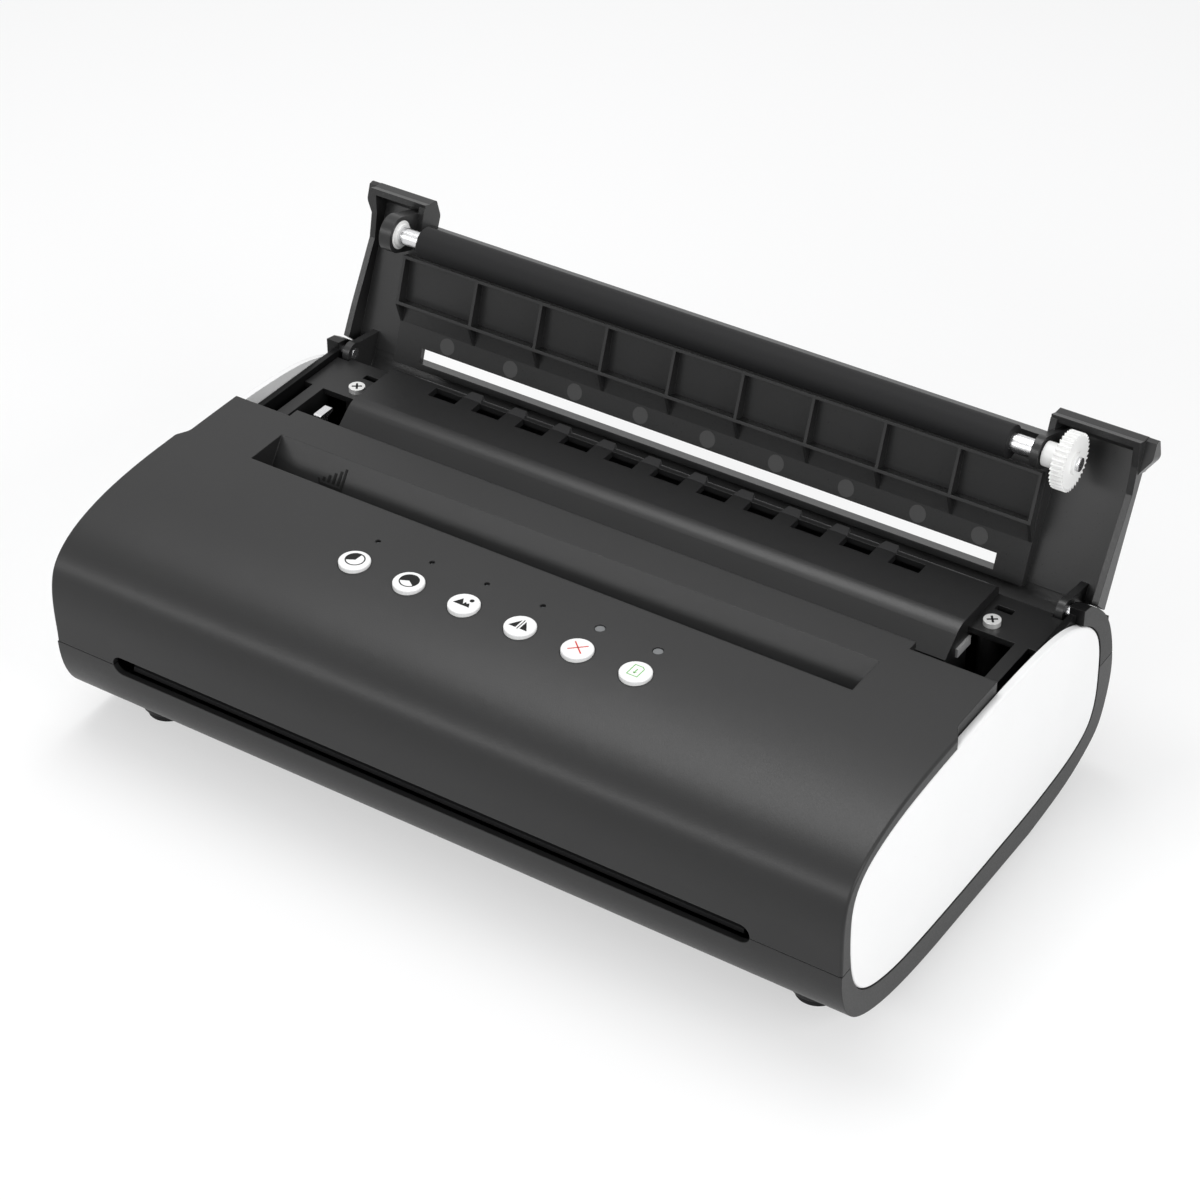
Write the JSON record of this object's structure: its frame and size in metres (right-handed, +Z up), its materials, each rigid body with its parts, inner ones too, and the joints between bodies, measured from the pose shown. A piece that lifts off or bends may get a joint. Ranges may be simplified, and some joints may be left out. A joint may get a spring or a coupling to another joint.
{
  "type": "thermal stencil copier",
  "caption": "Table-top thermal stencil copier with a hinged lid carrying a platen roller, a top paper slot, a front slot and a row of round push buttons.",
  "frame": {"origin": "on the table, under the middle of the outer box with the lid open", "axes": "+X to the right seen from the front, +Y to the back, +Z up"},
  "size_m": [0.2956, 0.1834, 0.1221],
  "materials": {
    "base_shell": "fine satin texture",
    "front_cover": "fine satin texture",
    "rear_housing": "fine satin texture",
    "middle_frame": "satin black",
    "left_side_panel": "smooth white",
    "right_side_panel": "smooth white",
    "lid_shell": "satin black",
    "hinge_pins": "turned",
    "platen_shaft": "turned and bright",
    "platen_rubber": "ground matt",
    "platen_gear": "white nylon",
    "platen_collar": "white nylon",
    "left_platen_bush": "white nylon",
    "right_platen_bush": "black nylon",
    "feed_shaft": "turned",
    "feed_rubber": "ground matt",
    "feed_gear": "white nylon",
    "platen_drive_gear": "white nylon",
    "front_idler_gear": "white nylon",
    "rear_idler_gear": "white nylon",
    "motor_pinion": "machined",
    "motor_shaft": "ground",
    "gear_plate": "plated sheet",
    "gear_posts": "turned",
    "feed_motor": "dull",
    "scanner_glass": "clear",
    "scanner_bar": "matt black",
    "front_paper_guide": "satin black",
    "rear_paper_guide": "satin black",
    "print_head": "ceramic-faced",
    "heat_sink": "extruded",
    "head_springs": "wire",
    "main_board": "green circuit board",
    "power_board": "brown circuit board",
    "transformer": "taped winding",
    "smoothing_capacitor": "sleeved",
    "key_board": "green circuit board",
    "key_switches": "matt",
    "indicator_lenses": "smoked",
    "power_inlet": "matt black",
    "power_switch_frame": "matt black",
    "power_switch_rocker": "satin black",
    "lid_sensor_lever": "bent and plated",
    "lid_sensor_pin": "turned",
    "lid_sensor_switch": "matt black",
    "rubber_feet": "matt",
    "base_screws": "plated",
    "frame_screws": "plated",
    "stencil_guide_rods": "drawn",
    "grounding_strip": "sprung sheet",
    "light_copy_button": "smooth white, slightly domed",
    "dark_copy_button": "smooth white, slightly domed",
    "photo_button": "smooth white, slightly domed",
    "mirror_button": "smooth white, slightly domed",
    "stop_button": "smooth white, slightly domed",
    "start_button": "smooth white, slightly domed"
  },
  "bodies": {
    "body": {"base_shell": "base_shell", "front_cover": "front_cover", "rear_housing": "rear_housing", "middle_frame": "middle_frame", "left_side_panel": "left_side_panel", "right_side_panel": "right_side_panel", "hinge_pins": "hinge_pins", "gear_plate": "gear_plate", "gear_posts": "gear_posts", "feed_motor": "feed_motor", "scanner_glass": "scanner_glass", "scanner_bar": "scanner_bar", "front_paper_guide": "front_paper_guide", "rear_paper_guide": "rear_paper_guide", "head_springs": "head_springs", "main_board": "main_board", "power_board": "power_board", "transformer": "transformer", "smoothing_capacitor": "smoothing_capacitor", "key_board": "key_board", "key_switches": "key_switches", "indicator_lenses": "indicator_lenses", "power_inlet": "power_inlet", "power_switch_frame": "power_switch_frame", "lid_sensor_pin": "lid_sensor_pin", "lid_sensor_switch": "lid_sensor_switch", "rubber_feet": "rubber_feet", "base_screws": "base_screws", "frame_screws": "frame_screws", "stencil_guide_rods": "stencil_guide_rods", "grounding_strip": "grounding_strip"},
    "lid": {"lid_shell": "lid_shell", "left_platen_bush": "left_platen_bush", "right_platen_bush": "right_platen_bush"},
    "platen_roller": {"platen_shaft": "platen_shaft", "platen_rubber": "platen_rubber", "platen_gear": "platen_gear", "platen_collar": "platen_collar"},
    "feed_roller": {"feed_shaft": "feed_shaft", "feed_rubber": "feed_rubber", "feed_gear": "feed_gear"},
    "drive_gear": {"platen_drive_gear": "platen_drive_gear"},
    "front_idler": {"front_idler_gear": "front_idler_gear"},
    "rear_idler": {"rear_idler_gear": "rear_idler_gear"},
    "pinion": {"motor_pinion": "motor_pinion", "motor_shaft": "motor_shaft"},
    "head": {"print_head": "print_head", "heat_sink": "heat_sink"},
    "power_rocker": {"power_switch_rocker": "power_switch_rocker"},
    "sensor_lever": {"lid_sensor_lever": "lid_sensor_lever"},
    "light_copy_key": {"light_copy_button": "light_copy_button"},
    "dark_copy_key": {"dark_copy_button": "dark_copy_button"},
    "photo_key": {"photo_button": "photo_button"},
    "mirror_key": {"mirror_button": "mirror_button"},
    "stop_key": {"stop_button": "stop_button"},
    "start_key": {"start_button": "start_button"}
  },
  "joints": [
    {"name": "lid_hinge", "type": "hinge", "parent": "body", "child": "lid", "pos_m": [0, 0.05788, 0.069], "axis": [1, 0, 0], "range_deg": [0, 109]},
    {"name": "platen_roller_spin", "type": "hinge", "parent": "lid", "child": "platen_roller", "pos_m": [0, 0.07175, 0.11266], "axis": [1, 0, 0], "continuous": true},
    {"name": "feed_roller_spin", "type": "hinge", "parent": "body", "child": "feed_roller", "pos_m": [0, -0.03956, 0.03712], "axis": [1, 0, 0], "continuous": true},
    {"name": "front_idler_spin", "type": "hinge", "parent": "body", "child": "front_idler", "pos_m": [0, -0.0238, 0.0399], "axis": [1, 0, 0], "continuous": true},
    {"name": "rear_idler_spin", "type": "hinge", "parent": "body", "child": "rear_idler", "pos_m": [0, -0.0062, 0.04364], "axis": [1, 0, 0], "continuous": true},
    {"name": "drive_gear_spin", "type": "hinge", "parent": "body", "child": "drive_gear", "pos_m": [0, 0.00809, 0.05189], "axis": [1, 0, 0], "continuous": true},
    {"name": "motor_pinion_spin", "type": "hinge", "parent": "body", "child": "pinion", "pos_m": [0, -0.00192, 0.03189], "axis": [1, 0, 0], "continuous": true},
    {"name": "print_head_press", "type": "slide", "parent": "body", "child": "head", "axis": [0, 0, 1], "range_m": [-0.001, 0], "stiffness_N_per_m": 500, "springref_m": 0.004, "deforming": ["head_springs"]},
    {"name": "light_copy_press", "type": "slide", "parent": "body", "child": "light_copy_key", "axis": [0, 0, -1], "range_m": [0, 0.0008], "stiffness_N_per_m": 400, "springref_m": -0.001},
    {"name": "dark_copy_press", "type": "slide", "parent": "body", "child": "dark_copy_key", "axis": [0, 0, -1], "range_m": [0, 0.0008], "stiffness_N_per_m": 400, "springref_m": -0.001},
    {"name": "photo_press", "type": "slide", "parent": "body", "child": "photo_key", "axis": [0, 0, -1], "range_m": [0, 0.0008], "stiffness_N_per_m": 400, "springref_m": -0.001},
    {"name": "mirror_press", "type": "slide", "parent": "body", "child": "mirror_key", "axis": [0, 0, -1], "range_m": [0, 0.0008], "stiffness_N_per_m": 400, "springref_m": -0.001},
    {"name": "stop_press", "type": "slide", "parent": "body", "child": "stop_key", "axis": [0, 0, -1], "range_m": [0, 0.0008], "stiffness_N_per_m": 400, "springref_m": -0.001},
    {"name": "start_press", "type": "slide", "parent": "body", "child": "start_key", "axis": [0, 0, -1], "range_m": [0, 0.0008], "stiffness_N_per_m": 400, "springref_m": -0.001},
    {"name": "power_rocker_tilt", "type": "hinge", "parent": "body", "child": "power_rocker", "pos_m": [-0.0625, 0.08088, 0.022], "axis": [1, 0, 0], "range_deg": [0, 24]},
    {"name": "lid_sensor_lever_tilt", "type": "hinge", "parent": "body", "child": "sensor_lever", "pos_m": [-0.1221, 0.02088, 0.055], "axis": [1, 0, 0], "range_deg": [-20, 0], "stiffness_Nm_per_rad": 0.004, "springref_deg": 20.05}
  ],
  "couplings": [
    {"joint": "front_idler_spin", "follows": "feed_roller_spin", "ratio": -0.77778},
    {"joint": "rear_idler_spin", "follows": "feed_roller_spin", "ratio": 0.77778},
    {"joint": "drive_gear_spin", "follows": "feed_roller_spin", "ratio": -0.93333},
    {"joint": "motor_pinion_spin", "follows": "feed_roller_spin", "ratio": -2}
  ]
}
